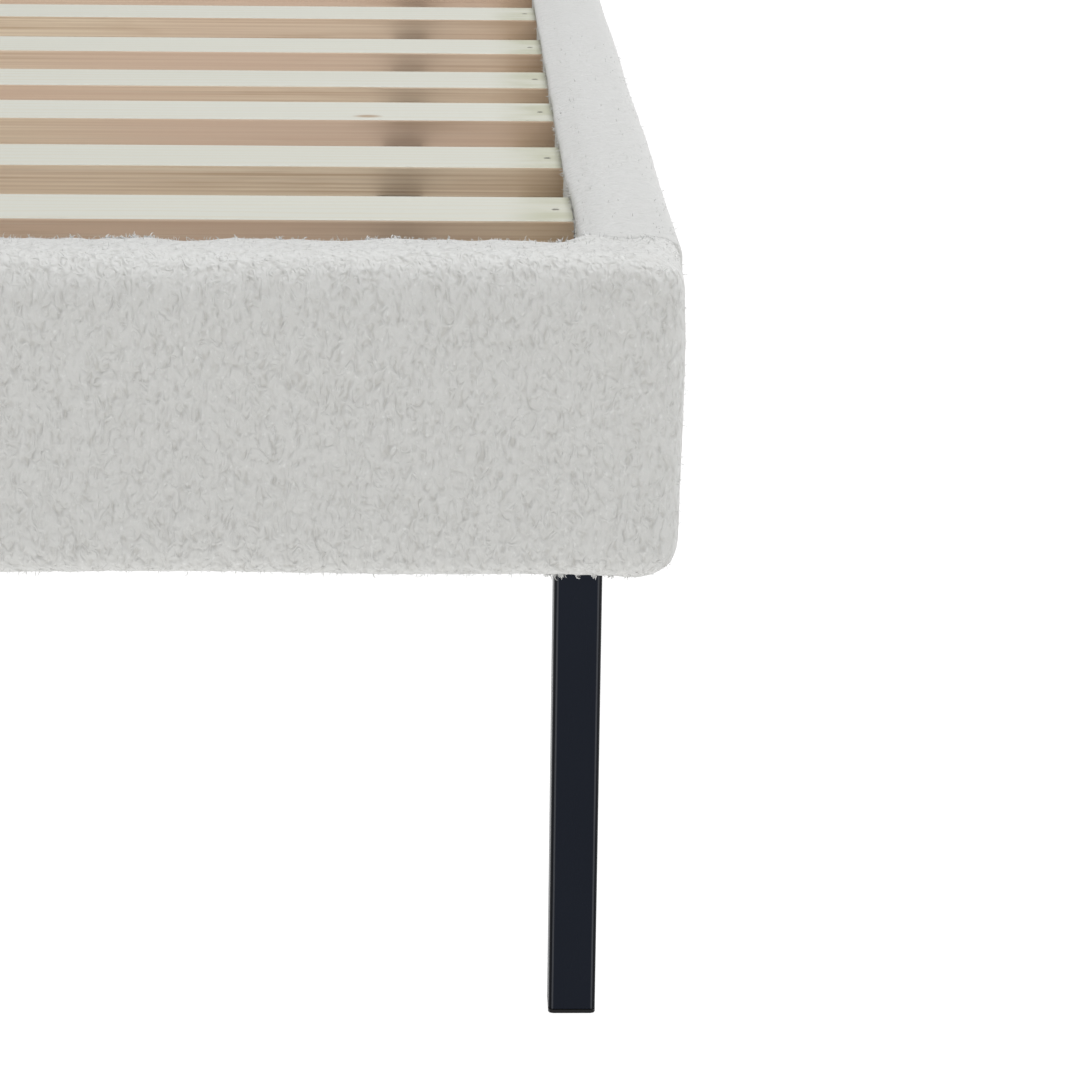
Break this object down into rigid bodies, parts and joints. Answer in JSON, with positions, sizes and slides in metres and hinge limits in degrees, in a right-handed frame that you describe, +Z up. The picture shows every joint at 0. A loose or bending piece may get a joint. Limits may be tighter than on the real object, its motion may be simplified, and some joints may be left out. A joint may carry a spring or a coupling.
{
  "type": "upholstered headboard bed",
  "caption": "Low upholstered bed frame with padded rails, wooden slats, square steel legs and a padded, channelled headboard.",
  "frame": {"origin": "middle of the bed's bounding box on the floor", "axes": "+X across the bed, +Y from the foot rail to the headboard, +Z up"},
  "size_m": [1.63, 2.185, 1.05],
  "materials": {
    "boucle": "off-white boucle, short looped pile over foam",
    "pine": "planed pine, unlacquered",
    "engineered_board": "raw plywood board",
    "black_powder_coat": "satin black powder coat on steel tube",
    "zinc_plate": "zinc-plated pressed steel",
    "black_plastic": "moulded black plastic",
    "webbing": "woven polypropylene strap",
    "dust_cloth": "thin non-woven cloth"
  },
  "bodies": {
    "frame": {"beam_hanger_foot": "zinc_plate", "beam_hanger_head": "zinc_plate", "centre_beam": "black_powder_coat", "corner_bracket_foot_left": "zinc_plate", "corner_bracket_foot_right": "zinc_plate", "corner_bracket_head_left": "zinc_plate", "corner_bracket_head_right": "zinc_plate", "end_ledge_foot": "pine", "end_ledge_head": "pine", "foot_rail_board": "engineered_board", "foot_rail_cover": "boucle", "headboard_back_cloth": "dust_cloth", "headboard_cover": "boucle", "headboard_ply": "engineered_board", "headboard_rail_lower": "pine", "headboard_rail_upper": "pine", "headboard_stile_left": "pine", "headboard_stile_right": "pine", "leg_cap_foot_left": "black_plastic", "leg_cap_foot_right": "black_plastic", "leg_cap_head_left": "black_plastic", "leg_cap_head_right": "black_plastic", "leg_foot_left": "black_powder_coat", "leg_foot_right": "black_powder_coat", "leg_head_left": "black_powder_coat", "leg_head_right": "black_powder_coat", "leveller_plug_1": "black_plastic", "leveller_plug_2": "black_plastic", "side_rail_board_left": "engineered_board", "side_rail_board_right": "engineered_board", "side_rail_cover_left": "boucle", "side_rail_cover_right": "boucle", "slat_01": "pine", "slat_02": "pine", "slat_03": "pine", "slat_04": "pine", "slat_05": "pine", "slat_06": "pine", "slat_07": "pine", "slat_08": "pine", "slat_09": "pine", "slat_10": "pine", "slat_11": "pine", "slat_12": "pine", "slat_13": "pine", "slat_ledge_left": "pine", "slat_ledge_right": "pine", "slat_strap_left": "webbing", "slat_strap_right": "webbing", "support_leg_1": "black_powder_coat", "support_leg_2": "black_powder_coat"},
    "leveller_1": {"levelling_foot_1": "black_plastic"},
    "leveller_2": {"levelling_foot_2": "black_plastic"}
  },
  "joints": [
    {"name": "leveller_1_travel", "type": "slide", "parent": "frame", "child": "leveller_1", "axis": [0, 0, -1], "range_m": [-0.016, 0.02]},
    {"name": "leveller_2_travel", "type": "slide", "parent": "frame", "child": "leveller_2", "axis": [0, 0, -1], "range_m": [-0.016, 0.02]}
  ]
}
